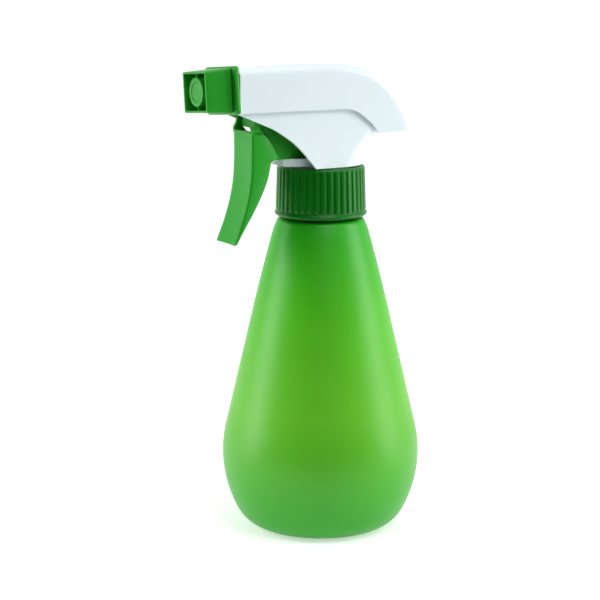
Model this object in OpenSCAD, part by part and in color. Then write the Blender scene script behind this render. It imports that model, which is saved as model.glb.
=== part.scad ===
// Hand mister: a teardrop bottle with a screw-on trigger pump head.
// Origin: on the bottle's axis, in the plane it stands on. +Z is up and the nozzle points along -X.

/* [Bottle] */
// Largest radius of the bottle's belly
belly_r = 38.5; // [36:0.1:41]
// Radius of the belly's vertical curve
belly_arc_r = 47; // [44:0.1:50]
// Radius of the flat that the bottle stands on
foot_r = 20; // [18:0.5:22]
// Radius of the curve from the foot to the belly
corner_r = 14.5; // [13:0.1:16]
// Inward lean of the upper side, in mm per mm of height
side_slope = 0.234; // [0.225:0.001:0.242]
// Height of the shoulder under the closure
shoulder_z = 122.4; // [121:0.1:123]
// Wall thickness
bottle_wall = 1.1; // [0.8:0.1:1.5]

/* [Screw neck] */
// Outer radius of the neck under its thread
neck_r = 12.55; // [12.4:0.05:12.6]
// Outer radius of the thread
neck_thread_r = 13.7; // [13.5:0.05:13.75]
// Bore radius of the neck
neck_bore_r = 10.8; // [10.6:0.05:11]
// Height of the neck's lip
lip_z = 140; // [139.8:0.1:140.2]
// Rise of the thread in one turn
thread_pitch = 4.233; // [4:0.001:4.5]

/* [Closure] */
// Height of the closure's lower edge
closure_z0 = 124; // [123.8:0.1:124.4]
// Height of the closure's top
closure_z1 = 143.3; // [143.2:0.05:143.4]
// Outer radius over the ribs
closure_r = 17.1; // [16.8:0.1:17.4]
// Outer radius of the bead round the lower edge
closure_bead_r = 17.9; // [17.5:0.1:18.2]
// Number of grip ribs
rib_count = 40; // [32:1:48]

/* [Pump] */
// Height of the piston's axis
piston_z = 154.5; // [154:0.1:155]
// Bore radius of the pump cylinder
cylinder_r = 4.2; // [4:0.05:4.4]
// Height of the outlet barrel's axis
outlet_z = 174; // [173.8:0.1:174.2]
// Outer radius of the outlet barrel
barrel_r = 4.5; // [4.4:0.05:4.6]
// Distance of the suction riser behind the bottle's axis
riser_x = 7; // [6.5:0.1:7.2]
// Radius of the intake ball
ball_r = 2; // [1.9:0.05:2.1]
// Outer radius of the dip tube
dip_r = 3; // [2.8:0.05:3.2]

/* [Trigger] */
// Distance of the trigger's pivot along X
pivot_x = -31.8; // [-32.2:0.1:-31.4]
// Height of the trigger's pivot
pivot_z = 168; // [167.6:0.1:168.2]
// Radius of the trunnions
trunnion_r = 1.5; // [1.4:0.05:1.6]
// Width of the trigger
trigger_w = 15.1; // [14.6:0.1:15.4]
// Thickness of the trigger's cheeks
cheek_t = 1.3; // [1.1:0.1:1.4]

/* [Nozzle] */
// Distance of the nozzle's face along X
nozzle_face_x = -54.4; // [-55:0.1:-53.5]
// Width of the nozzle's face
nozzle_face_w = 18.4; // [17.6:0.1:18.8]
// Height of the nozzle's face
nozzle_face_h = 15.4; // [15:0.1:16]
// Width of the nozzle's body at its flange
nozzle_root_w = 19.4; // [19:0.1:20]
// Height of the nozzle's body at its flange
nozzle_root_h = 16.6; // [16:0.1:17.4]
// Width of the nozzle's flange
flange_w = 24; // [23:0.1:24.6]
// Height of the nozzle's flange
flange_h = 18; // [17:0.1:18.4]
// Turn of the nozzle from square, in degrees
nozzle_turned = 6; // [0:0.5:10]

/* [Shroud] */
// Distance of the shroud's front edge along X
shroud_x0 = -41.3; // [-41.5:0.1:-41]
// Height of the shroud's flat top
shroud_top_z = 181.8; // [181.5:0.1:182.5]
// Half width of the shroud's upper band
band_w = 11.5; // [11.2:0.1:12]
// Half width of the skirt at its foot
skirt_w = 13.8; // [13.5:0.1:14.2]
// Height of the skirt's foot
skirt_z = 143.7; // [143.6:0.1:144]
// Wall thickness of the shroud
shroud_wall = 1.4; // [1.2:0.1:1.5]

/* [Hidden] */

$fn = 96;
eps = 0.01;

leaf = [0.29, 0.70, 0.29];
deep_green = [0.10, 0.45, 0.14];
bottle_green = [0.30, 0.62, 0.10];
pale = [0.93, 0.97, 0.99];
natural = [0.88, 0.89, 0.86];
steel = [0.72, 0.73, 0.75];
rubber = [0.12, 0.12, 0.12];

// Belly and side of the bottle
belly_x = belly_r - belly_arc_r;
arc_gap = belly_arc_r - corner_r;
belly_z = corner_r + sqrt(arc_gap * arc_gap - pow(foot_r - belly_x, 2));
corner_a0 = -atan2(belly_z - corner_r, foot_r - belly_x);
side_a = atan(side_slope);
side_r0 = belly_x + belly_arc_r * cos(side_a);
side_z0 = belly_z + belly_arc_r * sin(side_a);
tuck_z = 87;
tuck = 0.00073;
punt_r = 14;
punt_h = 3;
punt_arc_r = (punt_r * punt_r + punt_h * punt_h) / (2 * punt_h);
punt_a = asin(punt_r / punt_arc_r);
shoulder_arc_r = 1.7;
thread_z = 132.2;
thread_steps = 24;
thread_run_in = 4;

// Closure and the stack of pieces that it clamps
closure_top_t = 1.2;
closure_bore_r = 14.05;
closure_crest_r = 12.95;
gasket_t = 0.8;
gasket_r = 13.4;
plate_z0 = lip_z + gasket_t;
plate_z1 = plate_z0 + 1.2;
collar_r = 12.6;
collar_top_r = 11.9;
cup_bore_r = 11.2;
foot_plate_z0 = closure_z1 + 1;
foot_plate_z1 = 147.2;
seat_z = 147.3;
chamber_r = 2.7;
riser_r = 4.6;
ball_lift = 1;
ball_seat_r = 1.5;
ball_z = seat_z + sqrt(ball_r * ball_r - ball_seat_r * ball_seat_r);

// Pump body
core_w = 5.2;
cylinder_x0 = -17;
cylinder_x1 = 2.5;
rod_tip_x = pivot_x + 0.05;
rod_tip_r = 2;
cup_r = 2.6;
cup_x0 = -13.2;
head_x0 = -14.2;
head_x1 = -4.6;
head_r = 3.95;
groove_r = 3.3;
vent_x = -8.6;
ring_w = 1.6;
vent_ring_x = -11.6;
pressure_ring_x = -6.4;
outlet_bore_r = 2.2;
barrel_x0 = -51;
spinner_x = -50.6;
spinner_l = 3.4;
valve_x = -38;

// Trigger
tip_z = 116;
cheek_in = trigger_w / 2 - cheek_t;
boss_w = 2 * (cheek_in - 0.35);

// Nozzle
sleeve_r = 5.25;
sleeve_bore_r = barrel_r + 0.05;
flange_x0 = -43.5;
flange_x1 = shroud_x0 - 0.3;
recess_l = 8;
frame_t = 0.9;
insert_r = 3.7;
insert_t = 1.4;

// A cubic curve through four control points
function blend_pt(p, t) = pow(1 - t, 3) * p[0] + 3 * t * pow(1 - t, 2) * p[1]
  + 3 * t * t * (1 - t) * p[2] + pow(t, 3) * p[3];
function curve(p, n = 12) = [for (i = [0 : n]) blend_pt(p, i / n)];
function arc(c, r, a0, a1, n = 12) =
  [for (i = [0 : n]) let (a = a0 + (a1 - a0) * i / n) [c[0] + r * cos(a), c[1] + r * sin(a)]];

// A closed solid from a profile of [outward, along] points carried round a helix about Z.
// The profile shrinks to a quarter of its size over the first and last turn_in steps.
module helix(profile, radius, pitch, turns, steps = thread_steps, turn_in = 0) {
  rings = floor(turns * steps);
  m = len(profile);
  points = [for (i = [0 : rings], p = profile)
    let (a = 360 * i / steps)
    let (edge = turn_in == 0 ? 1 : min(1, 0.25 + 0.75 * min(i, rings - i) / turn_in))
    let (r = radius + p[0] * edge)
    [r * cos(a), r * sin(a), p[1] + pitch * i / steps]];
  sides = [for (i = [0 : rings - 1], j = [0 : m - 1])
    let (k = (j + 1) % m)
    [i * m + j, (i + 1) * m + j, (i + 1) * m + k, i * m + k]];
  first = [for (j = [0 : m - 1]) j];
  last = [for (j = [0 : m - 1]) rings * m + m - 1 - j];
  polyhedron(points, concat(sides, [first, last]), 6);
}

module tube(r_out, r_in, z0, z1) {
  translate([0, 0, z0])
    difference() {
      cylinder(r = r_out, h = z1 - z0);
      translate([0, 0, -eps]) cylinder(r = r_in, h = z1 - z0 + 2 * eps);
    }
}

// A flat-sided column, which a thread built of flat facets joins cleanly
module column(r, z0, z1) {
  translate([0, 0, z0]) linear_extrude(z1 - z0)
    polygon([for (i = [0 : thread_steps - 1]) r * [cos(360 * i / thread_steps), sin(360 * i / thread_steps)]]);
}

// A cylinder along X from x0 to x1 at height z
module rod_x(r, x0, x1, z) {
  translate([x0, 0, z]) rotate([0, 90, 0]) cylinder(r = r, h = x1 - x0);
}

// A side outline in X and Z, given the full width w across Y
module side_plate(points, w) {
  translate([0, w / 2, 0]) rotate([90, 0, 0]) linear_extrude(w) polygon(points);
}

// Radius of the bottle's side at height z, moved in by a wall of thickness t
function side_r(z, t) = side_r0 - side_slope * (z - side_z0)
  - tuck * pow(max(0, z - tuck_z), 2) - t / cos(side_a);

module bottle_outline(t) {
  side = [for (z = [tuck_z : 5 : shoulder_z - 2.4]) [side_r(z, t), z]];
  shoulder = [side_r(shoulder_z, 0) - shoulder_arc_r, shoulder_z - 1.2];
  polygon(concat(
    [[0, punt_h + t]],
    arc([0, punt_h - punt_arc_r], punt_arc_r + t, 84, 90 - punt_a, 5),
    arc([foot_r, corner_r], corner_r - t, -90, corner_a0, 14),
    arc([belly_x, belly_z], belly_arc_r - t, corner_a0, side_a, 14),
    side,
    arc(shoulder, shoulder_arc_r - t, 10, 90, 5),
    t == 0 ? [[neck_r - 0.4, shoulder_z + 0.5], [neck_r - 0.4, lip_z], [0, lip_z]]
           : [[neck_bore_r + 1.2, shoulder_z + 0.5 - t], [neck_bore_r, shoulder_z + 1.4],
              [neck_bore_r, lip_z + 1], [0, lip_z + 1]]));
}

module bottle() {
  crest = neck_thread_r - neck_r;
  thread = [[-0.4, 0.95], [crest, 0.4], [crest, -0.4], [-0.4, -0.95]];
  color(bottle_green) {
    difference() {
      rotate_extrude() bottle_outline(0);
      rotate_extrude() bottle_outline(bottle_wall);
    }
    translate([0, 0, thread_z])
      rotate(60) helix(thread, neck_r, thread_pitch, 1.3, thread_steps, thread_run_in);
    difference() {
      column(neck_r, shoulder_z + 0.4, lip_z);
      translate([0, 0, shoulder_z]) cylinder(r = neck_r - 0.9, h = 30);
    }
  }
}

module closure() {
  crest = closure_crest_r - closure_bore_r;
  thread = [[0.4, -0.75], [crest, -0.3], [crest, 0.3], [0.4, 0.75]];
  rib_z0 = closure_z0 + 2.2;
  color(deep_green) {
    difference() {
      union() {
        rotate_extrude()
          polygon(concat(
            [[0, closure_z0], [closure_bead_r - 0.8, closure_z0]],
            arc([closure_bead_r - 1.1, closure_z0 + 1.1], 1.1, -60, 60, 5),
            [[closure_r - 0.6, rib_z0 + 0.1], [closure_r - 0.7, closure_z1 - 0.7],
              [closure_r - 1.3, closure_z1], [0, closure_z1]]));
        for (i = [0 : rib_count - 1])
          rotate(360 * (i + 0.5) / rib_count)
            translate([closure_r - 1.6, -0.75, rib_z0 - 0.1])
              cube([1.6, 1.5, closure_z1 - 0.8 - rib_z0]);
      }
      column(closure_bore_r + 0.1, closure_z0 - 1, closure_z1 - closure_top_t);
      cylinder(r = collar_r + 0.4, h = 200);
    }
    translate([0, 0, thread_z - thread_pitch])
      rotate(240) helix(thread, closure_bore_r, thread_pitch, 1.25, thread_steps, thread_run_in);
  }
}

module neck_gasket() {
  color(natural) tube(gasket_r, neck_bore_r + 0.2, lip_z, lip_z + gasket_t);
}

// Oblong foot plate, clamped flange, plug skirt, ball seat and dip tube socket in one moulding
module tube_connector() {
  socket_z = 128;
  color(pale)
    difference() {
      union() {
        translate([0, 0, plate_z0]) cylinder(r = gasket_r, h = plate_z1 - plate_z0);
        translate([0, 0, plate_z0]) cylinder(r = collar_r, h = closure_z1 + 0.3 - plate_z0);
        translate([0, 0, plate_z0]) cylinder(r = collar_top_r, h = foot_plate_z0 + 0.5 - plate_z0);
        foot_plate();
        tube(neck_bore_r - 0.1, neck_bore_r - 1.3, 136, plate_z0 + 0.2);
        translate([riser_x, 0, socket_z]) cylinder(r = dip_r + 0.75, h = plate_z0 - socket_z + 0.2);
        translate([riser_x, 0, plate_z0]) cylinder(r = chamber_r, h = seat_z - plate_z0);
      }
      translate([riser_x, 0, socket_z - 1]) cylinder(r = dip_r, h = 140.2 - socket_z + 1);
      translate([riser_x, 0, socket_z]) cylinder(r = ball_seat_r, h = 30);
      difference() {
        translate([0, 0, plate_z1]) cylinder(r = cup_bore_r, h = 10);
        translate([riser_x, 0, 0]) cylinder(r = chamber_r, h = 200);
      }
      translate([vent_x, 0, plate_z0 - 5]) cylinder(r = 0.6, h = 20);
    }
}

// The white foot that carries the pump body over the closure
module foot_plate() {
  translate([0, 0, foot_plate_z0]) linear_extrude(foot_plate_z1 - foot_plate_z0)
    polygon(concat([[-9.5, 10], [-19.2, 4.6], [-19.2, -4.6], [-9.5, -10], [5, -10]],
      arc([4.7, 0], 9, -60, 60, 8), [[5, 10]]));
}

module intake_ball() {
  color(steel) translate([riser_x, 0, ball_z]) sphere(r = ball_r);
}

module dip_tube() {
  color(natural)
    difference() {
      translate([riser_x, 0, 0]) tube(dip_r - 0.01, dip_r - 0.8, 5, 140.2);
      translate([riser_x, 0, 4]) rotate([0, 35, 0]) cube([20, 20, 6], center = true);
    }
}

// Body of the pump: base plug, suction riser, cylinder, outlet barrel and pivot boss
module pump_body() {
  color(leaf)
    difference() {
      union() {
        // base plug in the connector's cup, and the floor above the foot plate
        translate([0, 0, plate_z1 + 0.1]) cylinder(r = cup_bore_r - 0.05, h = foot_plate_z1 - plate_z1);
        translate([-13, -core_w, foot_plate_z1]) cube([26, 2 * core_w, 1.5]);
        // riser, cylinder and barrel
        translate([riser_x, 0, foot_plate_z1]) cylinder(r = riser_r, h = outlet_z - foot_plate_z1);
        rod_x(core_w, cylinder_x0, cylinder_x1 + 1.5, piston_z);
        rod_x(barrel_r, barrel_x0, riser_x, outlet_z);
        // block between floor and cylinder
        translate([-12, -3, foot_plate_z1]) cube([18, 6, piston_z - foot_plate_z1]);
        // side walls either side of the piston rod, and the web above the cylinder
        for (s = [-1, 1])
          translate([0, s * (core_w - 0.5), 0])
            side_plate([[-22.8, foot_plate_z1], [-25.6, 152], [-27.2, 160], [-27.6, 171],
              [8, 171], [12, 160], [13, foot_plate_z1]], 1);
        side_plate([[-18, 158], [-22, 171], [8, 171], [8, 158]], 2);
        side_plate([[-27.6, 168.2], [-27.6, 171], [8, 171], [8, 168.2]], 2 * core_w);
        // front block over the rod, behind the trigger's window
        side_plate([[-31.4, 159.5], [-31.4, 167], [-26.2, 168.3], [-26, 157], [-27.4, 157], [-28.3, 159.2]],
          boss_w);
        // pivot boss under the barrel
        translate([pivot_x, boss_w / 2, pivot_z]) rotate([90, 0, 0]) cylinder(r = 3, h = boss_w);
        side_plate([[pivot_x, 165.2], [pivot_x, 173], [-26, 173], [-26, 166.5]], 2 * core_w);
      }
      // ball chamber and riser passage
      translate([riser_x, 0, plate_z1]) cylinder(r = chamber_r, h = 153.4 - plate_z1);
      translate([riser_x, 0, 153]) cylinder(r = 1.9, h = outlet_z - 153);
      // cylinder bore, its delivery port and the vent into the bottle
      rod_x(cylinder_r, cylinder_x0 - 1, cylinder_x1, piston_z);
      rod_x(1.2, cylinder_x1 - 1, riser_x, piston_z);
      translate([vent_x, 0, 130]) cylinder(r = 0.6, h = piston_z - 130 - 3);
      // outlet bore and the trigger's pivot
      rod_x(outlet_bore_r, barrel_x0 - 1, riser_x + 1, outlet_z);
      translate([pivot_x, 20, pivot_z]) rotate([90, 0, 0]) cylinder(r = trunnion_r + 0.05, h = 40);
      // groove for the ring that seals the nozzle
      translate([-46, 0, outlet_z]) rotate([0, 90, 0])
        difference() {
          cylinder(r = barrel_r + 1, h = 1.3);
          translate([0, 0, -1]) cylinder(r = barrel_r - 0.95, h = 4);
        }
    }
  // fins that keep the ball below the riser
  color(leaf)
    for (a = [0, 120, 240])
      translate([riser_x, 0, ball_z + ball_r + ball_lift + 0.05])
        rotate(a) translate([1.2, -0.3, 0]) cube([1.8, 0.6, 1]);
}

module piston_rod() {
  color(natural)
    difference() {
      union() {
        translate([rod_tip_x + rod_tip_r, 0, piston_z]) sphere(r = rod_tip_r);
        rod_x(rod_tip_r, rod_tip_x + rod_tip_r, head_x0 + 1, piston_z);
        difference() {
          rod_x(head_r, head_x0, head_x1, piston_z);
          for (x = [vent_ring_x, pressure_ring_x])
            difference() {
              rod_x(head_r + 1, x - ring_w / 2, x + ring_w / 2, piston_z);
              rod_x(groove_r, x - ring_w, x + ring_w, piston_z);
            }
        }
      }
      rod_x(cup_r, cup_x0, head_x1 + 1, piston_z);
    }
}

// A cup ring that fills a groove on the piston and wipes the cylinder
module piston_ring(x) {
  color(rubber)
    difference() {
      rod_x(cylinder_r - 0.03, x - ring_w / 2 + 0.02, x + ring_w / 2 - 0.02, piston_z);
      rod_x(groove_r + 0.01, x - ring_w, x + ring_w, piston_z);
    }
}

module piston_seal() {
  piston_ring(pressure_ring_x);
}

module vent_seal() {
  piston_ring(vent_ring_x);
}

module coil_spring(r, wire_r, turns, length) {
  wire = [for (a = [0 : 60 : 300]) [-wire_r * cos(a), wire_r * sin(a)]];
  color(steel) helix(wire, r, (length - 2 * wire_r) / turns, turns, 16);
}

module return_spring() {
  l = cylinder_x1 - cup_x0 - 0.1;
  translate([cup_x0 + 0.35, 0, piston_z]) rotate([0, 90, 0])
    coil_spring(cup_r - 0.45, 0.3, 9, l);
}

// Side outline of the trigger, from its pivot boss down the back and up the finger face
module trigger_side() {
  back = curve([[-26, 146.1], [-27, 141], [-30.6, 131.5], [-40, 117.7]], 12);
  face = curve([[-42, tip_z], [-37.5, 127.5], [-34.8, 137.5], [-34.3, 150]], 12);
  side_plate(concat(
    [[-29.3, 168], [-29.6, 164], [-31.2, 159.9]],
    curve([[-30.6, 159.2], [-27, 156.2], [-24.9, 152.5], [-23, 148.4]], 8),
    [[-23.6, 148], [-25.3, 147.4]],
    back, [[-41, tip_z - 0.2]], face,
    [[-34.3, 159.4], [-33.6, 160.4], [-33.1, 161.8], [-32.9, 165], [-32.9, 168]]), trigger_w);
  translate([pivot_x, trigger_w / 2, pivot_z]) rotate([90, 0, 0])
    cylinder(r = 2.6, h = trigger_w);
}

module trigger() {
  color(leaf) {
    difference() {
      trigger_side();
      // the hollow behind the finger face, open at the back
      side_plate(concat([[pivot_x, 159], [0, 159], [0, 124]],
        curve([[-34.6, 126.2], [-32.8, 133], [-31.8, 140], [pivot_x, 150]], 8)), 2 * cheek_in);
      // the window over the finger face
      translate([-50, -cheek_in, 158.3]) cube([50, 2 * cheek_in, 20]);
    }
    for (s = [-1, 1])
      translate([pivot_x, s * (cheek_in + 0.5), pivot_z]) rotate([s * 90, 0, 0])
        cylinder(r = trunnion_r, h = 3.5);
  }
}

module outlet_valve() {
  color(natural) {
    rod_x(1.9, valve_x, valve_x + 1, outlet_z);
    rod_x(0.8, valve_x - 1.5, valve_x + 0.1, outlet_z);
  }
}

module outlet_spring() {
  l = valve_x - (spinner_x + spinner_l) - 0.1;
  translate([spinner_x + spinner_l + 0.3, 0, outlet_z]) rotate([0, 90, 0])
    coil_spring(1.4, 0.2, 7, l);
}

// Swirl plug in the barrel's mouth, with slots along it and a swirl cup in its face
module spinner() {
  color(natural)
    difference() {
      rod_x(outlet_bore_r - 0.01, spinner_x, spinner_x + spinner_l, outlet_z);
      for (a = [0, 90, 180, 270])
        translate([spinner_x - 1, 0, outlet_z]) rotate([a, 0, 0])
          translate([0, outlet_bore_r - 0.5, -0.3]) cube([spinner_l + 2, 1, 0.6]);
      rod_x(0.8, spinner_x - 1, spinner_x + 0.4, outlet_z);
      rod_x(0.9, spinner_x + 1.8, spinner_x + spinner_l + 1, outlet_z);
    }
}

module nozzle_seal() {
  color(rubber)
    translate([-45.35, 0, outlet_z]) rotate([0, 90, 0])
      rotate_extrude() translate([barrel_r - 0.47, 0]) circle(r = 0.46);
}

module orifice_insert() {
  color(leaf)
    difference() {
      rod_x(insert_r - 0.01, nozzle_face_x + 0.9, nozzle_face_x + 0.9 + insert_t, outlet_z);
      rod_x(0.25, nozzle_face_x, nozzle_face_x + 4, outlet_z);
      translate([nozzle_face_x + 0.4, 0, outlet_z]) rotate([0, 90, 0])
        cylinder(r1 = 2.2, r2 = 0.25, h = 1.2);
    }
}

// The nozzle's body, which grows from its face to its root
module nozzle_body() {
  x0 = nozzle_face_x;
  x1 = flange_x0 + 0.1;
  intersection() {
    side_plate([[x0, -nozzle_face_h / 2], [x0, nozzle_face_h / 2],
      [x1, nozzle_root_h / 2], [x1, -nozzle_root_h / 2]], 40);
    rotate([90, 0, 0])
      side_plate([[x0, -nozzle_face_w / 2], [x0, nozzle_face_w / 2],
        [x1, nozzle_root_w / 2], [x1, -nozzle_root_w / 2]], 40);
  }
}

module nozzle_cap() {
  color(leaf)
    translate([0, 0, outlet_z]) rotate([nozzle_turned, 0, 0])
      difference() {
        union() {
          difference() {
            nozzle_body();
            // recess round the boss
            translate([nozzle_face_x - 1, -nozzle_face_w / 2 + frame_t, -nozzle_face_h / 2 + frame_t])
              cube([recess_l + 1, nozzle_face_w - 2 * frame_t, nozzle_face_h - 2 * frame_t]);
          }
          rod_x(sleeve_r, nozzle_face_x + 0.4, flange_x1, 0);
          // webs that tie the boss to the frame
          translate([nozzle_face_x + 1, -0.35, -nozzle_face_h / 2 + 0.2])
            cube([recess_l, 0.7, nozzle_face_h - 0.4]);
          translate([flange_x0, -flange_w / 2, -flange_h / 2])
            cube([flange_x1 - flange_x0, flange_w, flange_h]);
        }
        // bore over the barrel, seat of the orifice insert and the dish in the boss
        rod_x(sleeve_bore_r, barrel_x0 - 0.1, 0, 0);
        rod_x(insert_r, nozzle_face_x - 1, nozzle_face_x + 0.9 + insert_t, 0);
        rod_x(1.5, nozzle_face_x, 0, 0);
      }
}

// Plan outline of the shroud's upper band, moved in by t
module band_plan(t) {
  translate([shroud_x0 - (t > 0 ? 5 : 0), -band_w + t])
    square([30 - shroud_x0 + (t > 0 ? 5 : 0), 2 * (band_w - t)]);
  intersection() {
    translate([30.7, 0]) circle(r = band_w - t);
    translate([0, -band_w]) square([60, 2 * band_w]);
  }
}

// Side outline of the upper band and its hood, moved in by t
module band(t) {
  crown = curve([[6, shroud_top_z - t], [27, shroud_top_z - t], [37.5 - t, 169],
    [42.2 - t, 157 + t * 0.4]], 12);
  x0 = shroud_x0 - (t > 0 ? 5 : 0);
  hood_z = t > 0 ? 150 : 155.4;
  intersection() {
    side_plate(concat([[x0, 165.9 - t * 4], [x0, shroud_top_z - t]], crown,
      [[41.2 - t, hood_z], [19.6 + t, hood_z]],
      curve([[19.6 + t, hood_z], [15.5, 160.5], [11, 165.3], [3, 165.6 - t * 4]], 6)), 40);
    translate([0, 0, 140]) linear_extrude(60) band_plan(t);
  }
}

// Flared skirt under the band, moved in by t
module skirt(t) {
  z0 = skirt_z - (t > 0 ? 1 : 0);
  front = curve([[-41.3, 165.9], [-26, 161], [-19, 158.5], [-9.6, skirt_z]], 10);
  rear = curve([[17, skirt_z], [16, 147.5], [21.5, 151], [23.5, 156]], 6);
  intersection() {
    side_plate(t > 0
      ? [[-60, z0], [-60, 168], [24 - t, 168], [23.5 - t, 156], [17 - t, 148], [17 - t, z0]]
      : concat(rear, [[23.5, 168], [-41.3, 168]], front), 40);
    hull() {
      translate([0, 0, z0]) linear_extrude(0.5)
        skirt_plan(skirt_w - t, 17 - t);
      translate([0, 0, 166]) linear_extrude(2)
        skirt_plan(9.9 - t, 26 - t);
    }
  }
}

// Round-ended plan of the skirt: half width w and rear tip at x
module skirt_plan(w, x) {
  translate([-60, -w]) square([60 + x - w, 2 * w]);
  translate([x - w, 0]) circle(r = w, $fn = 48);
}

module shroud() {
  color(pale)
    difference() {
      union() {
        band(0);
        skirt(0);
      }
      band(shroud_wall);
      skirt(shroud_wall);
    }
}

bottle();
closure();
neck_gasket();
tube_connector();
intake_ball();
dip_tube();
pump_body();
piston_rod();
piston_seal();
vent_seal();
return_spring();
trigger();
outlet_valve();
outlet_spring();
spinner();
nozzle_seal();
orifice_insert();
nozzle_cap();
shroud();
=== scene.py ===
import math

import bmesh
import bpy
from mathutils import Matrix, Vector


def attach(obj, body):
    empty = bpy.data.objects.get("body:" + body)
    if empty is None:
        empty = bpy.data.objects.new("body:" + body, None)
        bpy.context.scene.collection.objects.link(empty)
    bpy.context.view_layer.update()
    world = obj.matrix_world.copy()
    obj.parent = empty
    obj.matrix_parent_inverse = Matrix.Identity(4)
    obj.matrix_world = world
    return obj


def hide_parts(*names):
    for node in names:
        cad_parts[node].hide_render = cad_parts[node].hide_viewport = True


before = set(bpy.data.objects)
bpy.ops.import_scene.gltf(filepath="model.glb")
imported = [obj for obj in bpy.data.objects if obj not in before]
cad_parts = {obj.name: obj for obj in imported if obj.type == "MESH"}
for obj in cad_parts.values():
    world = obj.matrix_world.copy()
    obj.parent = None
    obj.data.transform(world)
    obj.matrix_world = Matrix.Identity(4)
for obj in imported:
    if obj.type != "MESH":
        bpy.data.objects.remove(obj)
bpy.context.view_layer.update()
mm = 0.001
print("frame loaded:", len(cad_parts), "nodes")

# camera first, so that everything after it can be judged through it
shot = {"lens": 138.0, "turn": 30.0, "tilt": 11.349, "place": (-446.53, -757.37, 266.44)}


def addCamera():
    data = bpy.data.cameras.new("shotCamera")
    data.lens = shot["lens"]
    data.clip_end = 20.0
    camera = bpy.data.objects.new("shotCamera", data)
    camera.location = [v * mm for v in shot["place"]]
    camera.rotation_euler = (math.radians(90 - shot["tilt"]), 0, math.radians(-shot["turn"]))
    bpy.context.scene.collection.objects.link(camera)
    bpy.context.scene.camera = camera


addCamera()
print("camera set")


# ---- mesh helpers, all in millimetres until a mesh is stored

def smoothLine(points, count):
    # an even run of points along a smooth curve through the given ones
    pts = [Vector(p) for p in points]
    ends = [2 * pts[0] - pts[1]] + pts + [2 * pts[-1] - pts[-2]]
    dense = []
    for i in range(1, len(ends) - 2):
        for k in range(16):
            t = k / 16
            p0, p1, p2, p3 = ends[i - 1:i + 3]
            dense.append(0.5 * (2 * p1 + (p2 - p0) * t + (2 * p0 - 5 * p1 + 4 * p2 - p3) * t * t
                                + (3 * p1 - p0 - 3 * p2 + p3) * t * t * t))
    dense.append(pts[-1])
    return respaced(dense, count)


def respaced(dense, count):
    run = [0.0]
    for a, b in zip(dense, dense[1:]):
        run.append(run[-1] + (b - a).length)
    out, k = [], 0
    for i in range(count + 1):
        want = run[-1] * i / count
        while k < len(run) - 2 and run[k + 1] < want:
            k += 1
        gap = run[k + 1] - run[k]
        share = 0 if gap < 1e-9 else (want - run[k]) / gap
        out.append(dense[k].lerp(dense[k + 1], min(1, max(0, share))))
    return out


def arcPoints(centre, radius, startDeg, endDeg, count):
    out = []
    for i in range(count + 1):
        a = math.radians(startDeg + (endDeg - startDeg) * i / count)
        out.append((centre[0] + radius * math.cos(a), centre[1] + radius * math.sin(a)))
    return out


def roundedBox(wide, high, radius, count=5):
    # corner-rounded rectangle about the middle, counter-clockwise
    w, h = wide / 2 - radius, high / 2 - radius
    out = []
    for cx, cy, start in ((w, h, 0), (-w, h, 90), (-w, -h, 180), (w, -h, 270)):
        out += arcPoints((cx, cy), radius, start, start + 90, count)
    return out


def loft(rings, closedRing=True, capStart=True, capEnd=True):
    # rings of equal length joined in order
    n = len(rings[0])
    verts = [tuple(p) for ring in rings for p in ring]
    faces = []
    for i in range(len(rings) - 1):
        for j in range(n if closedRing else n - 1):
            k = (j + 1) % n
            faces.append((i * n + j, i * n + k, (i + 1) * n + k, (i + 1) * n + j))
    if capStart:
        faces.append(tuple(reversed(range(n))))
    if capEnd:
        base = (len(rings) - 1) * n
        faces.append(tuple(range(base, base + n)))
    return verts, faces


def lathe(profile, segments, axis="z", centre=(0, 0, 0)):
    # profile of (radius, along) turned about an axis; a radius of 0 closes to a point ring
    rings = []
    for r, h in profile:
        ring = []
        for j in range(segments):
            a = 2 * math.pi * j / segments
            c, s = max(r, 0.001) * math.cos(a), max(r, 0.001) * math.sin(a)
            local = (c, s, h) if axis == "z" else (h, c, s) if axis == "x" else (s, h, c)
            ring.append(tuple(local[i] + centre[i] for i in range(3)))
        rings.append(ring)
    return loft(rings)


def merged(*parts):
    verts, faces = [], []
    for v, f in parts:
        base = len(verts)
        verts += v
        faces += [tuple(i + base for i in face) for face in f]
    return verts, faces


def helixRidge(section, radius, pitch, turns, start, z0, steps=48, runIn=8):
    # section of (outward, along) carried round a helix, fading in and out at its ends
    rings, total = [], int(turns * steps)
    for i in range(total + 1):
        a = math.radians(start + 360 * i / steps)
        edge = min(1, 0.15 + 0.85 * min(i, total - i) / runIn)
        rings.append([((radius + o * edge) * math.cos(a), (radius + o * edge) * math.sin(a),
                       z0 + pitch * i / steps + h * edge) for o, h in section])
    return loft(rings)


def storeMesh(name, shape, sharpDeg=35.0, mergeGap=0.002):
    verts, faces = shape
    mesh = bpy.data.meshes.new(name)
    mesh.from_pydata([[c * mm for c in v] for v in verts], [], faces)
    bm = bmesh.new()
    bm.from_mesh(mesh)
    bmesh.ops.remove_doubles(bm, verts=bm.verts, dist=mergeGap * mm)
    bmesh.ops.recalc_face_normals(bm, faces=bm.faces)
    bm.to_mesh(mesh)
    bm.free()
    mesh.shade_smooth()
    mesh.set_sharp_from_angle(angle=math.radians(sharpDeg))
    piece = bpy.data.objects.new(name, mesh)
    bpy.context.scene.collection.objects.link(piece)
    return piece


def place(piece, body, slot, material, *nodes):
    piece.data.materials.clear()
    piece.data.materials.append(material)
    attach(piece, body)
    if nodes:
        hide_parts(*nodes)
    return piece


# ---- materials

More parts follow.
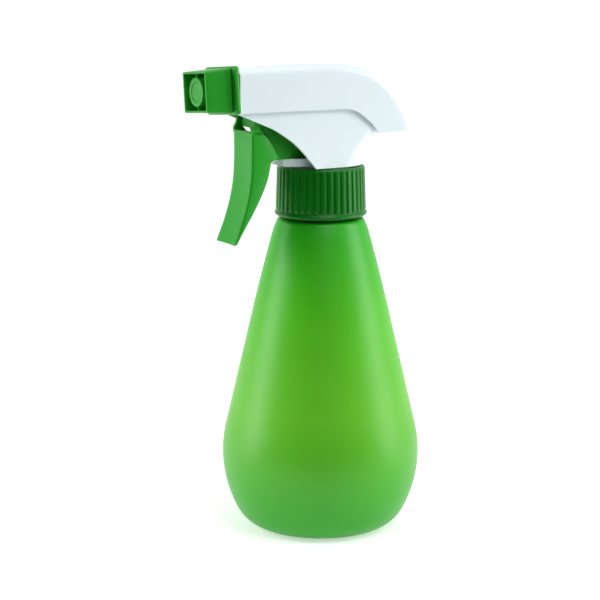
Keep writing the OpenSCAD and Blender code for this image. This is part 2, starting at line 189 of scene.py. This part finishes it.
def nodeTree(name):
    material = bpy.data.materials.new(name)
    material.use_nodes = True
    nodes, links = material.node_tree.nodes, material.node_tree.links
    shader = next(n for n in nodes if n.type == "BSDF_PRINCIPLED")
    place3d = nodes.new("ShaderNodeTexCoord")
    return material, nodes, links, shader, place3d


def noiseNode(nodes, links, place3d, scale, detail=3.0, stretch=(1, 1, 1)):
    mapping = nodes.new("ShaderNodeMapping")
    mapping.inputs["Scale"].default_value = stretch
    noise = nodes.new("ShaderNodeTexNoise")
    noise.inputs["Scale"].default_value = scale
    noise.inputs["Detail"].default_value = detail
    links.new(place3d.outputs["Object"], mapping.inputs["Vector"])
    links.new(mapping.outputs["Vector"], noise.inputs["Vector"])
    return noise


def rampNode(nodes, links, source, stops):
    ramp = nodes.new("ShaderNodeValToRGB")
    ramp.color_ramp.elements[0].position, ramp.color_ramp.elements[0].color = stops[0][0], (*stops[0][1], 1)
    ramp.color_ramp.elements[1].position, ramp.color_ramp.elements[1].color = stops[1][0], (*stops[1][1], 1)
    links.new(source, ramp.inputs["Fac"])
    return ramp


def mouldedPlastic(name, look):
    # cloudy colour, uneven polish and the fine grain of a moulded surface
    material, nodes, links, shader, place3d = nodeTree(name)
    cloud = noiseNode(nodes, links, place3d, look["cloudScale"], 4.0)
    tint = rampNode(nodes, links, cloud.outputs["Fac"], ((0.3, look["dark"]), (0.7, look["light"])))
    colour = tint.outputs["Color"]
    if "paintedLightByHeight" in look:
        # painted light and shade by height above the foot: lighter at the belly, darker at the foot and the
        # shoulder, dulled a little by the clouds
        split = nodes.new("ShaderNodeSeparateXYZ")
        links.new(place3d.outputs["Object"], split.inputs["Vector"])
        top = look["paintedLightByHeight"][-1][0]
        height = nodes.new("ShaderNodeMapRange")
        height.inputs["From Max"].default_value = top
        links.new(split.outputs["Z"], height.inputs["Value"])
        paintedLightByHeight = rampNode(nodes, links, height.outputs["Result"],
                          ((0.0, look["paintedLightByHeight"][0][1]), (1.0, look["paintedLightByHeight"][-1][1])))
        for z, shade in look["paintedLightByHeight"][1:-1]:
            paintedLightByHeight.color_ramp.elements.new(z / top).color = (*shade, 1)
        mix = nodes.new("ShaderNodeMix")
        mix.data_type = "RGBA"
        mix.blend_type = "MULTIPLY"
        mix.inputs[0].default_value = 1.0
        links.new(paintedLightByHeight.outputs["Color"], mix.inputs[6])
        links.new(colour, mix.inputs[7])
        colour = mix.outputs[2]
    links.new(colour, shader.inputs["Base Color"])
    polish = noiseNode(nodes, links, place3d, look["polishScale"], 5.0)
    spread = nodes.new("ShaderNodeMapRange")
    spread.inputs["To Min"].default_value = look["rough"][0]
    spread.inputs["To Max"].default_value = look["rough"][1]
    links.new(polish.outputs["Fac"], spread.inputs["Value"])
    links.new(spread.outputs["Result"], shader.inputs["Roughness"])
    grain = noiseNode(nodes, links, place3d, look["grainScale"], 2.0)
    bump = nodes.new("ShaderNodeBump")
    bump.inputs["Strength"].default_value = look["grain"]
    bump.inputs["Distance"].default_value = 0.00004
    links.new(grain.outputs["Fac"], bump.inputs["Height"])
    links.new(bump.outputs["Normal"], shader.inputs["Normal"])
    shader.inputs["IOR"].default_value = look.get("ior", 1.5)
    shader.inputs["Specular IOR Level"].default_value = look.get("specular", 0.5)
    shader.inputs["Coat Weight"].default_value = look.get("coat", 0.0)
    shader.inputs["Coat Roughness"].default_value = look.get("coatRough", 0.2)
    if look.get("glow", 0) > 0:
        shader.inputs["Subsurface Weight"].default_value = look["glow"]
        shader.inputs["Subsurface Radius"].default_value = look["glowRadius"]
        shader.inputs["Subsurface Scale"].default_value = look["glowScale"]
    return material


def metalWire(name, look):
    material, nodes, links, shader, place3d = nodeTree(name)
    draw = noiseNode(nodes, links, place3d, look["drawScale"], 4.0, (1, 1, 6))
    tint = rampNode(nodes, links, draw.outputs["Fac"], ((0.3, look["dark"]), (0.7, look["light"])))
    links.new(tint.outputs["Color"], shader.inputs["Base Color"])
    shader.inputs["Metallic"].default_value = 1.0
    shader.inputs["Roughness"].default_value = look["rough"]
    return material


finishes = {
    "bottleGreen": {"dark": (0.92, 0.95, 0.92), "light": (1.0, 1.0, 1.0), "cloudScale": 30,
                    # painted light and shade by height above the foot: lighter at the belly, darker at the
                    # foot and the shoulder
                    "paintedLightByHeight": ((0.0, (0.008, 0.30, 0.001)), (0.018, (0.035, 0.37, 0.002)),
                               (0.05, (0.125, 0.52, 0.012)), (0.085, (0.085, 0.53, 0.003)),
                               (0.122, (0.012, 0.42, 0.001))),
                    "rough": (0.38, 0.44), "polishScale": 220, "grain": 0.12, "grainScale": 3200,
                    "glow": 0.15, "glowRadius": (0.4, 1.0, 0.15), "glowScale": 0.003, "specular": 0.45},
    "closureGreen": {"dark": (0.001, 0.155, 0.004), "light": (0.0015, 0.175, 0.006), "cloudScale": 90,
                     "rough": (0.28, 0.34), "polishScale": 260, "grain": 0.05, "grainScale": 3500,
                     "specular": 0.28},
    "leafGreen": {"dark": (0.018, 0.35, 0.018), "light": (0.024, 0.385, 0.024), "cloudScale": 80,
                  "rough": (0.30, 0.38), "polishScale": 420, "grain": 0.10, "grainScale": 3300,
                  "glow": 0.05, "glowRadius": (0.5, 1.0, 0.4), "glowScale": 0.0015, "specular": 0.3},
    "shroudWhite": {"dark": (0.835, 0.945, 0.98), "light": (0.855, 0.965, 0.995), "cloudScale": 40,
                    "rough": (0.30, 0.38), "polishScale": 300, "grain": 0.06, "grainScale": 3000,
                    "glow": 0.05, "glowRadius": (1.0, 1.0, 1.0), "glowScale": 0.001, "specular": 0.4},
    "naturalPlastic": {"dark": (0.70, 0.72, 0.66), "light": (0.78, 0.80, 0.74), "cloudScale": 120,
                       "rough": (0.32, 0.42), "polishScale": 500, "grain": 0.10, "grainScale": 3200,
                       "glow": 0.2, "glowRadius": (1.0, 1.0, 1.0), "glowScale": 0.002},
    "sealRubber": {"dark": (0.012, 0.012, 0.013), "light": (0.022, 0.022, 0.023), "cloudScale": 300,
                   "rough": (0.55, 0.7), "polishScale": 800, "grain": 0.25, "grainScale": 4000},
}
paint = {name: mouldedPlastic(name, look) for name, look in finishes.items()}
paint["springSteel"] = metalWire("springSteel", {"dark": (0.42, 0.42, 0.44), "light": (0.66, 0.66, 0.68),
                                                 "drawScale": 1500, "rough": 0.28})


def glassBall():
    material, nodes, links, shader, place3d = nodeTree("polishedGlass")
    smear = noiseNode(nodes, links, place3d, 900, 3.0)
    spread = nodes.new("ShaderNodeMapRange")
    spread.inputs["To Min"].default_value = 0.02
    spread.inputs["To Max"].default_value = 0.08
    links.new(smear.outputs["Fac"], spread.inputs["Value"])
    links.new(spread.outputs["Result"], shader.inputs["Roughness"])
    shader.inputs["Base Color"].default_value = (0.85, 0.93, 0.92, 1)
    shader.inputs["Transmission Weight"].default_value = 0.9
    return material


paint["polishedGlass"] = glassBall()
print("materials ready:", len(paint))

# ---- bottle
bottle = {"bellyR": 38.48, "bellyArcR": 47.0, "footR": 20.0, "cornerR": 14.5, "slope": 0.234,
          "shoulderZ": 122.4, "rollR": 1.9, "tuckZ": 87.0, "tuck": 0.00073,
          "wall": 1.1, "puntR": 14.0, "puntH": 3.0, "neckR": 12.5, "boreR": 10.8, "lipZ": 140.0,
          "threadR": 13.65, "threadZ": 132.2, "pitch": 4.233, "segments": 160}


def bottleProfile(inset):
    b = bottle
    bellyX = b["bellyR"] - b["bellyArcR"]
    gap = b["bellyArcR"] - b["cornerR"]
    bellyZ = b["cornerR"] + math.sqrt(gap ** 2 - (b["footR"] - bellyX) ** 2)
    meet = -math.degrees(math.atan2(bellyZ - b["cornerR"], b["footR"] - bellyX))
    lean = math.atan(b["slope"])
    sideR = bellyX + b["bellyArcR"] * math.cos(lean)
    sideZ = bellyZ + b["bellyArcR"] * math.sin(lean)

    def sideAt(z):
        return (sideR - b["slope"] * (z - sideZ) - b["tuck"] * max(0, z - b["tuckZ"]) ** 2
                - inset / math.cos(lean))

    puntArc = (b["puntR"] ** 2 + b["puntH"] ** 2) / (2 * b["puntH"])
    puntA = math.degrees(math.asin(b["puntR"] / puntArc))
    outline = [(0, b["puntH"] + inset)]
    outline += arcPoints((0, b["puntH"] - puntArc), puntArc + inset, 86, 90 - puntA + 2, 8)
    outline += arcPoints((b["footR"], b["cornerR"]), b["cornerR"] - inset, -90, meet, 26)
    outline += arcPoints((bellyX, bellyZ), b["bellyArcR"] - inset, meet, math.degrees(lean), 34)[1:]
    z = sideZ + 3
    while z < b["shoulderZ"] - 2.2:
        outline.append((sideAt(z), z))
        z += 2.5
    roll = b["rollR"]
    shoulderR = sideAt(b["shoulderZ"]) + inset / math.cos(lean) - roll
    outline += arcPoints((shoulderR, b["shoulderZ"] - 1.45), roll - inset, 12, 90, 8)
    return outline


def makeBottle():
    b = bottle
    outer = bottleProfile(0)
    top = outer[-1][1]
    outer += [(15.6, top + 0.02), (14.0, top + 0.1), (b["neckR"] + 0.4, top + 0.25), (b["neckR"], top + 0.7),
              (b["neckR"], b["lipZ"] - 0.5), (b["neckR"] - 0.5, b["lipZ"])]
    inner = bottleProfile(b["wall"])
    inner += [(b["boreR"] + 1.0, top - b["wall"] + 0.1), (b["boreR"], top + 0.9),
              (b["boreR"], b["lipZ"] - 0.3), (b["boreR"] + 0.3, b["lipZ"])]
    shell = lathe(outer + list(reversed(inner)), b["segments"])
    crest = b["threadR"] - b["neckR"]
    section = [(-0.4, 0.95), (crest - 0.15, 0.45), (crest, 0.3),
               (crest, -0.3), (crest - 0.15, -0.45), (-0.4, -0.95)]
    thread = helixRidge(section, b["neckR"], b["pitch"], 1.3, 60, b["threadZ"])
    piece = storeMesh("bottleShell", merged(shell, thread), 40)
    return place(piece, "bottle", "bottle_green", paint["bottleGreen"], "bottle")


makeBottle()
print("bottle made")

# ---- closure
closure = {"z0": 124.0, "z1": 143.3, "ribR": 17.1, "valleyR": 16.6, "flare": 0.5, "beadR": 17.88,
           "ribs": 40, "boreR": 14.1, "holeR": 13.0, "topWall": 1.2, "perRib": 12, "crestR": 12.97}


def makeClosure():
    c = closure
    columns = c["ribs"] * c["perRib"]
    ribFoot, ribTop = c["z0"] + 2.35, c["z1"] - 1.3

    def ribShare(angleShare):
        # 0 in a valley, 1 on a rib, with a rounded crown
        t = abs((angleShare * c["ribs"]) % 1.0 - 0.5) * 2
        return 0.5 - 0.5 * math.cos(math.pi * min(1, max(0, (t - 0.18) / 0.42)))

    rows = [(c["boreR"], c["z0"], 0), (c["beadR"] - 0.75, c["z0"], 0)]
    rows += [(r, z, 0) for r, z in arcPoints((c["beadR"] - 0.85, c["z0"] + 0.95), 0.85, -70, 65, 8)]
    rows += [(c["ribR"] + 0.12, ribFoot - 0.35, 0), (c["ribR"] + 0.02, ribFoot - 0.1, 0.15)]
    for i in range(13):
        t = i / 12
        z = ribFoot + 0.25 + (ribTop - ribFoot - 0.5) * t
        rows.append((c["ribR"] + c["flare"] * (1 - t) - 0.15, z, 1))
    for r, z in arcPoints((c["ribR"] - 1.25, c["z1"] - 1.15), 1.1, 8, 90, 7):
        rows.append((r, z, max(0.0, 1 - (z - ribTop) / 0.9)))
    rows += [(c["holeR"] + 0.2, c["z1"] - 0.05, 0), (c["holeR"], c["z1"] - 0.25, 0),
             (c["holeR"], c["z1"] - c["topWall"], 0), (c["boreR"], c["z1"] - c["topWall"], 0)]
    rings = []
    for r, z, ribbed in rows:
        ring = []
        for j in range(columns):
            share = j / columns
            cut = (c["ribR"] - c["valleyR"]) * ribbed * (1 - ribShare(share))
            a = 2 * math.pi * share
            ring.append(((r - cut) * math.cos(a), (r - cut) * math.sin(a), z))
        rings.append(ring)
    rings.append(rings[0])
    body = loft(rings, True, False, False)
    crest = c["crestR"] - c["boreR"]
    section = [(0.3, -0.75), (crest + 0.12, -0.35), (crest, -0.22),
               (crest, 0.22), (crest + 0.12, 0.35), (0.3, 0.75)]
    thread = helixRidge(section, c["boreR"], bottle["pitch"], 1.25, 240, bottle["threadZ"] - bottle["pitch"])
    piece = storeMesh("closureShell", merged(body, thread), 50)
    return place(piece, "closure", "closure_green", paint["closureGreen"], "closure")


makeClosure()
print("closure made")

# ---- shroud: every level of the band is a round-ended outline whose tip follows the crown
shroud = {"x0": -41.3, "topZ": 181.75, "halfW": 11.5, "endR": 11.0, "edgeR": 1.1, "wall": 1.4,
          "panelY": 9.9, "lineDeep": 0.28, "lineWide": 0.32, "crownDip": 0.35, "flatFade": 14.0,
          "skirtZ": 143.75, "skirtTopZ": 166.2, "ledge": 1.6, "flare": 3.85, "flarePower": 2.3,
          "frontTopZ": 165.85, "waistTopZ": 158.0}
crownLine = [(6.0, 181.7), (12.0, 181.3), (18.8, 180.0), (22.5, 178.8), (26.1, 176.9), (29.9, 174.3),
             (32.9, 171.5), (35.5, 168.4), (38.1, 164.7), (40.6, 160.5), (41.9, 157.3), (41.6, 155.45)]
ridgeLine = [(-41.3, 166.3), (-10.0, 165.9), (3.0, 165.6), (6.6, 165.2), (10.0, 164.0), (13.2, 161.7),
             (16.5, 158.8), (19.4, 155.45)]


def shroudBand(inset):
    s = shroud
    half, reach = s["halfW"] - inset, s["endR"] - inset
    crown = [Vector((s["x0"] + 2, s["topZ"])), Vector((-20, s["topZ"])), Vector((-2, s["topZ"]))]
    crown = smoothLine(crown + [Vector(p) for p in crownLine], 72)
    # the crown is moved in square to itself
    moved = []
    for i, p in enumerate(crown):
        ahead = crown[min(i + 1, len(crown) - 1)] - crown[max(i - 1, 0)]
        normal = Vector((-ahead.y, ahead.x)).normalized()
        moved.append(p - normal * inset if i < len(crown) - 1 else p - Vector((inset, 0)))
    ridge = smoothLine(ridgeLine, 72)
    rings = []
    count = 16
    for i, p in enumerate(moved):
        ring = []
        for k in range(count + 1):
            a = math.radians(90 * k / count)
            y = half * math.sin(a)
            x = max(s["x0"], p.x - reach * (1 - math.cos(a)))
            side = max(0.0, y - (half - s["edgeR"]))
            fall = s["edgeR"] - math.sqrt(max(0, s["edgeR"] ** 2 - side ** 2))
            flat = 1 - min(1, max(0, (s["topZ"] - inset - p.y) / s["flatFade"]))
            crownDip = s["crownDip"] * (y / half) ** 2
            line = 0
            if inset == 0:
                # a moulded line along the panel, fading in behind the front
                fadeIn = min(1, max(0, (x + 36) / 2.5))
                line = s["lineDeep"] * math.exp(-((y - s["panelY"]) / s["lineWide"]) ** 2) * fadeIn
            ring.append(Vector((x, y, p.y - (fall + crownDip) * flat - line * flat)))
        foot = ridge[i]
        edge = ring[-1]
        for k in range(1, 11):
            t = k / 10
            ring.append(Vector((edge.x + (foot.x - edge.x) * t, half, edge.z + (foot.y - edge.z) * t)))
        rings.append(ring)
    return rings


def mirroredStrip(rings):
    # each ring runs from the middle to the edge; both sides joined through the middle
    return [[Vector((p.x, -p.y, p.z)) for p in reversed(ring[1:])] + ring for ring in rings]


def shellBetween(outer, inner):
    # closes an outer and an inner sheet of the same layout into one walled shell
    rows, cols = len(outer), len(outer[0])
    verts = [tuple(p) for ring in outer for p in ring] + [tuple(p) for ring in inner for p in ring]
    base = rows * cols
    faces = []
    for i in range(rows - 1):
        for j in range(cols - 1):
            a, b, c, d = i * cols + j, i * cols + j + 1, (i + 1) * cols + j + 1, (i + 1) * cols + j
            faces.append((a, b, c, d))
            faces.append((base + d, base + c, base + b, base + a))
    for i in range(rows - 1):
        a, d = i * cols, (i + 1) * cols
        faces.append((a, d, base + d, base + a))
        b, c = i * cols + cols - 1, (i + 1) * cols + cols - 1
        faces.append((c, b, base + b, base + c))
    for j in range(cols - 1):
        faces.append((j + 1, j, base + j, base + j + 1))
        last = (rows - 1) * cols
        faces.append((last + j, last + j + 1, base + last + j + 1, base + last + j))
    return verts, faces


frontLine = [(-41.3, 165.9), (-35.8, 163.6), (-31.2, 161.6), (-26.2, 159.3), (-21.6, 156.4), (-18.2, 153.9),
             (-15.2, 151.0), (-12.6, 147.8), (-10.9, 145.3), (-9.9, 143.75)]
waistLine = [(16.8, 143.75), (16.1, 144.9), (16.9, 146.6), (18.5, 149.0), (20.3, 151.8), (22.4, 154.0),
             (24.6, 156.0), (26.5, 158.0)]


def shroudSkirt(inset):
    s = shroud
    rows, paintedLightByHeight = [], 40
    front = smoothLine(frontLine, 240)
    waist = smoothLine(waistLine, 120)

    def lineX(line, z):
        return min(line, key=lambda p: abs(p.y - z)).x

    zTop = s["skirtTopZ"]
    for i in range(paintedLightByHeight + 1):
        t = i / paintedLightByHeight
        z = s["skirtZ"] + (zTop - s["skirtZ"]) * t
        drop = (zTop - z) / (zTop - s["skirtZ"])
        half = s["halfW"] - s["ledge"] + s["flare"] * drop ** s["flarePower"] - inset
        xFront = max(s["x0"], lineX(front, min(z, s["frontTopZ"])))
        xRear = lineX(waist, min(z, s["waistTopZ"])) - inset
        cornerRound = min(half, xRear - xFront - 1)
        ring = []
        for k in range(25):
            a = math.radians(90 * k / 24)
            ring.append(Vector((xRear - cornerRound + cornerRound * math.cos(a), half * math.sin(a), z)))
        xEdge = xRear - cornerRound
        for k in range(1, 25):
            share = k / 24
            ring.append(Vector((xEdge + (xFront - xEdge) * share, half, z)))
        rows.append(ring)
    return rows


def makeShroud():
    band = shellBetween(mirroredStrip(shroudBand(0)), mirroredStrip(shroudBand(shroud["wall"])))
    skirt = shellBetween(mirroredStrip(shroudSkirt(0)), mirroredStrip(shroudSkirt(shroud["wall"])))
    piece = storeMesh("shroudShell", merged(band, skirt), 38)
    return place(piece, "head", "shroud_white", paint["shroudWhite"], "shroud")


makeShroud()
print("shroud made")

# ---- trigger: a U section that rides along the finger face
trigger = {"wide": 15.1, "cheek": 1.3, "web": 2.0, "frontR": 1.1, "lipR": 0.45, "pivot": (-31.8, 168.0),
           "bossR": 2.6, "pinR": 1.5}
fingerStations = [  # front point and back point of each section, from the window down to the tip
    ((-34.3, 158.3), (-29.9, 158.3)), ((-34.3, 156.6), (-28.0, 156.6)), ((-34.3, 154.6), (-26.5, 154.6)),
    ((-34.3, 152.4), (-25.1, 152.4)), ((-34.3, 150.6), (-24.0, 150.2)), ((-34.3, 149.3), (-23.1, 148.7)),
    ((-34.3, 148.7), (-22.95, 148.2)), ((-34.3, 148.2), (-23.5, 147.8)), ((-34.33, 147.6), (-25.0, 147.3)),
    ((-34.37, 146.6), (-26.0, 146.3)), ((-34.5, 144.0), (-26.5, 144.0)), ((-34.7, 141.0), (-27.2, 141.0)),
    ((-35.15, 137.5), (-28.4, 137.8)), ((-35.85, 134.0), (-29.9, 134.6)), ((-36.75, 130.4), (-31.7, 131.2)),
    ((-37.85, 126.9), (-33.8, 127.6)), ((-39.1, 123.4), (-36.1, 124.0)), ((-40.5, 119.9), (-38.4, 120.4)),
    ((-41.6, 117.0), (-40.1, 117.6)), ((-41.9, 116.1), (-40.8, 116.6))]


def uSection(depth, t):
    # closed U outline as (depth, sideways) pairs
    half, inside = t["wide"] / 2, t["wide"] / 2 - t["cheek"]
    r = min(t["frontR"], depth * 0.42)
    lip = min(t["lipR"], depth * 0.2)
    webDeep = min(t["web"], depth - 0.06)
    deep = depth - webDeep
    inR = min(0.9, deep * 0.5)
    pts = arcPoints((depth - lip, half - lip), lip, 0, 90, 3)
    pts += arcPoints((r, half - r), r, 90, 180, 6)
    for k in range(1, 8):
        y = (half - r) * (1 - 2 * k / 8)
        pts.append((0.22 * (1 - (y / (half - r)) ** 2), y))
    pts += arcPoints((r, -(half - r)), r, 180, 270, 6)
    pts += arcPoints((depth - lip, -(half - lip)), lip, 270, 360, 3)
    pts += [(depth, -(inside + 0.15)), (depth - min(0.15, deep * 0.5), -inside)]
    pts += arcPoints((webDeep + inR, -(inside - inR)), inR, 270, 180, 4)
    pts += arcPoints((webDeep + inR, inside - inR), inR, 180, 90, 4)
    pts += [(depth - min(0.15, deep * 0.5), inside), (depth, inside + 0.15)]
    return pts


def flatPlate(points, y0, y1):
    # a side outline given thickness across Y
    ring0 = [(x, y0, z) for x, z in points]
    ring1 = [(x, y1, z) for x, z in points]
    return loft([ring0, ring1])


def makeTrigger():
    t = trigger
    # sections stay paired by station, not by length
    pairs = []
    for i in range(len(fingerStations) - 1):
        for k in range(4):
            share = k / 4
            ends = []
            for side in (0, 1):
                p0 = Vector(fingerStations[max(0, i - 1)][side])
                p1 = Vector(fingerStations[i][side])
                p2 = Vector(fingerStations[i + 1][side])
                p3 = Vector(fingerStations[min(len(fingerStations) - 1, i + 2)][side])
                ends.append(0.5 * (2 * p1 + (p2 - p0) * share + (2 * p0 - 5 * p1 + 4 * p2 - p3) * share ** 2
                                   + (3 * p1 - p0 - 3 * p2 + p3) * share ** 3))
            pairs.append(ends)
    pairs.append([Vector(fingerStations[-1][0]), Vector(fingerStations[-1][1])])
    rings = []
    for front, back in pairs:
        along = back - front
        depth = along.length
        along.normalize()
        rings.append([(front.x + along.x * a, y, front.y + along.y * a) for a, y in uSection(depth, t)])
    finger = loft(rings)
    px, pz = t["pivot"]
    boss = arcPoints((px, pz), t["bossR"], -12, 200, 18)
    cheekSide = boss + [(-32.9, 165.4), (-33.1, 161.8), (-33.6, 160.4), (-34.3, 159.4), (-34.3, 157.4),
                         (-29.0, 157.4), (-30.6, 159.2), (-30.9, 160.2)]
    shapes = [finger]
    half, inside = t["wide"] / 2, t["wide"] / 2 - t["cheek"]
    for side in (-1, 1):
        shapes.append(flatPlate(cheekSide, side * inside, side * half))
        pin = [(0, side * (inside - 3)), (t["pinR"] - 0.2, side * (inside - 3)),
               (t["pinR"], side * (inside - 2.8)), (t["pinR"], side * (inside + 0.1)),
               (0, side * (inside + 0.1))]
        shapes.append(lathe(pin, 40, "y", (px, 0, pz)))
    piece = storeMesh("triggerLever", merged(*shapes), 45)
    return place(piece, "trigger", "leaf_green", paint["leafGreen"], "trigger")


makeTrigger()
print("trigger made")

# ---- nozzle
nozzle = {"faceX": -54.4, "face": (18.4, 15.4), "root": (19.4, 16.6), "wall": 0.85, "flangeX": (-43.5, -41.6),
          "flangeW": 24.0, "flangeH": 18.0, "bodyRearX": -43.95, "recess": 7.6, "bossR": 5.45, "boreR": 4.55,
          "axisZ": 174.0, "turned": -6.0, "webT": 0.7, "insertR": 3.7, "dishR": 3.66}


def turnedRing(points, x, n):
    # (sideways, up) points at x, turned about the barrel's axis
    a = math.radians(n["turned"])
    return [(x, y * math.cos(a) - z * math.sin(a), n["axisZ"] + y * math.sin(a) + z * math.cos(a))
            for y, z in points]


def boxRing(x, wide, high, radius, n):
    return turnedRing(roundedBox(wide, high, radius, 5), x, n)


def makeNozzle():
    n = nozzle
    fx, face, root = n["faceX"], n["face"], n["root"]
    inner = [side - 2 * n["wall"] for side in face]
    floorX, rearX = fx + n["recess"], n["bodyRearX"]

    def ring(x, sides, less, radius):
        return boxRing(x, sides[0] - less, sides[1] - less, radius, n)

    shell = loft([
        ring(floorX, inner, 0.9, 0.5), ring(floorX, inner, 0.5, 0.6), ring(floorX - 0.25, inner, 0.25, 0.6),
        ring(fx + 0.25, inner, 0, 0.6), ring(fx + 0.05, inner, -0.15, 0.65), ring(fx, inner, -0.4, 0.7),
        ring(fx, face, 0.5, 0.7), ring(fx + 0.08, face, 0.16, 0.8), ring(fx + 0.3, face, 0, 0.85),
        ring(rearX - 0.25, root, 0, 0.9), ring(rearX, root, 0.4, 0.8)])
    neck = loft([ring(rearX - 0.3, root, 1.6, 1.0), ring(n["flangeX"][0] + 0.3, root, 1.6, 1.0)])
    f0, f1 = n["flangeX"]
    fw, fh = n["flangeW"], n["flangeH"]
    flange = loft([boxRing(f0, fw - 1.0, fh - 1.0, 1.1, n), boxRing(f0 + 0.12, fw - 0.3, fh - 0.3, 1.35, n),
                   boxRing(f0 + 0.4, fw, fh, 1.5, n), boxRing(f1 - 0.3, fw, fh, 1.5, n),
                   boxRing(f1, fw - 0.5, fh - 0.5, 1.3, n)])
    b = n["bossR"]
    rim = [(n["insertR"], fx + 0.95), (n["insertR"], fx + 0.75), (n["insertR"] + 0.15, fx + 0.55),
           (b - 0.35, fx + 0.45), (b - 0.1, fx + 0.55), (b, fx + 0.8), (b, floorX + 0.4), (0, floorX + 0.4),
           (0, fx + 0.95)]
    boss = lathe(rim, 72, "x", (0, 0, n["axisZ"]))
    shapes = [shell, neck, flange, boss]
    for side in (-1, 1):
        mid = side * (b + inner[1] / 2) / 2
        tall = inner[1] / 2 - b + 1.0
        strip = [(p[0], p[1] + mid) for p in roundedBox(n["webT"], tall, 0.2, 2)]
        shapes.append(loft([turnedRing([(y * 0.6, z) for y, z in strip], fx + 1.1, n),
                            turnedRing(strip, fx + 1.35, n), turnedRing(strip, floorX + 0.3, n)]))
    piece = storeMesh("nozzleCap", merged(*shapes), 40)
    return place(piece, "nozzle", "leaf_green", paint["leafGreen"], "nozzle_cap")


def makeOrifice():
    n = nozzle
    fx = n["faceX"]
    rim = n["dishR"]
    dish = [(0.0, fx + 1.9), (0.25, fx + 1.75), (0.28, fx + 1.35), (0.6, fx + 1.15), (1.5, fx + 1.08),
            (2.3, fx + 0.98), (2.75, fx + 0.72), (3.1, fx + 0.62), (3.45, fx + 0.68), (rim, fx + 0.85),
            (rim, fx + 2.3), (0, fx + 2.3)]
    piece = storeMesh("orificeDisc", lathe(dish, 72, "x", (0, 0, n["axisZ"])), 40)
    return place(piece, "nozzle", "leaf_green", paint["leafGreen"], "orifice_insert")


makeNozzle()
makeOrifice()
print("nozzle made")

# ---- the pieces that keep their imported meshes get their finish
keptFinish = {"neck_gasket": "naturalPlastic", "tube_connector": "shroudWhite",
              "intake_ball": "polishedGlass", "dip_tube": "naturalPlastic", "pump_body": "leafGreen",
              "piston_rod": "naturalPlastic",
              "piston_seal": "sealRubber", "vent_seal": "sealRubber", "return_spring": "springSteel",
              "outlet_valve": "naturalPlastic", "outlet_spring": "springSteel", "spinner": "naturalPlastic",
              "nozzle_seal": "sealRubber"}


def finishKept():
    for name, finish in keptFinish.items():
        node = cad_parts[name]
        node.data.materials.clear()
        node.data.materials.append(paint[finish])


finishKept()
print("kept pieces finished")

# ---- studio
studio = {"floorZ": -0.02, "floorSize": 3000.0, "floorFront": 160.0, "flatBack": 900.0, "sweepR": 600.0,
          "wallTop": 2500.0, "glow": 0.45, "air": 0.10, "aimUp": 95}


def studioFloor():
    size = studio["floorSize"] * mm
    verts, faces = [], []
    flat, bend = studio["flatBack"] * mm, studio["sweepR"] * mm
    profile = [(-studio["floorFront"] * mm, 0.0), (flat, 0.0)]
    for deg in range(10, 91, 10):
        a = math.radians(deg)
        profile.append((flat + bend * math.sin(a), bend - bend * math.cos(a)))
    profile.append((flat + bend, studio["wallTop"] * mm))
    turn = Matrix.Rotation(math.radians(-shot["turn"]), 3, "Z")
    for back, up in profile:
        for side in (-size, size):
            verts.append(turn @ Vector((side, back, up + studio["floorZ"] * mm)))
    for i in range(len(profile) - 1):
        faces.append((2 * i, 2 * i + 1, 2 * i + 3, 2 * i + 2))
    mesh = bpy.data.meshes.new("studioSweep")
    mesh.from_pydata(verts, [], faces)
    mesh.shade_smooth()
    sweep = bpy.data.objects.new("studioSweep", mesh)
    bpy.context.scene.collection.objects.link(sweep)
    material, nodes, links, shader, place3d = nodeTree("palePaper")
    paper = noiseNode(nodes, links, place3d, 40, 3.0)
    tint = rampNode(nodes, links, paper.outputs["Fac"],
                    ((0.3, (0.93, 0.93, 0.93)), (0.7, (0.95, 0.95, 0.95))))
    links.new(tint.outputs["Color"], shader.inputs["Base Color"])
    shader.inputs["Roughness"].default_value = 0.9
    shader.inputs["Specular IOR Level"].default_value = 0.1
    shader.inputs["Emission Color"].default_value = (1, 1, 1, 1)
    shader.inputs["Emission Strength"].default_value = studio["glow"]
    mesh.materials.append(material)


def areaLight(name, aside, ahead, up, wide, tall, power):
    # aside and ahead are measured from the object, to the camera's right and towards it
    a = math.radians(shot["turn"])
    right = Vector((math.cos(a), -math.sin(a), 0))
    near = Vector((-math.sin(a), -math.cos(a), 0))
    data = bpy.data.lights.new(name, "AREA")
    data.shape = "RECTANGLE"
    data.size, data.size_y = wide * mm, tall * mm
    data.energy = power
    lamp = bpy.data.objects.new(name, data)
    lamp.location = (right * aside + near * ahead + Vector((0, 0, up))) * mm
    aim = Vector((0, 0, studio["aimUp"])) * mm - lamp.location
    lamp.rotation_euler = aim.to_track_quat("-Z", "Y").to_euler()
    bpy.context.scene.collection.objects.link(lamp)


def setLights():
    areaLight("softLeft", -930, 40, 220, 460, 1300, 9.5)
    areaLight("softRight", 930, 40, 220, 460, 1300, 9.0)
    areaLight("softTop", 150, 200, 1150, 900, 900, 3.0)
    areaLight("softFront", 330, 720, 950, 700, 600, 4.2)
    world = bpy.data.worlds.new("studioAir")
    world.use_nodes = True
    air = world.node_tree.nodes["Background"]
    air.inputs["Color"].default_value = (1, 1, 1, 1)
    air.inputs["Strength"].default_value = studio["air"]
    bpy.context.scene.world = world
    bpy.context.scene.view_settings.view_transform = "Standard"


studioFloor()
setLights()
print("studio set")
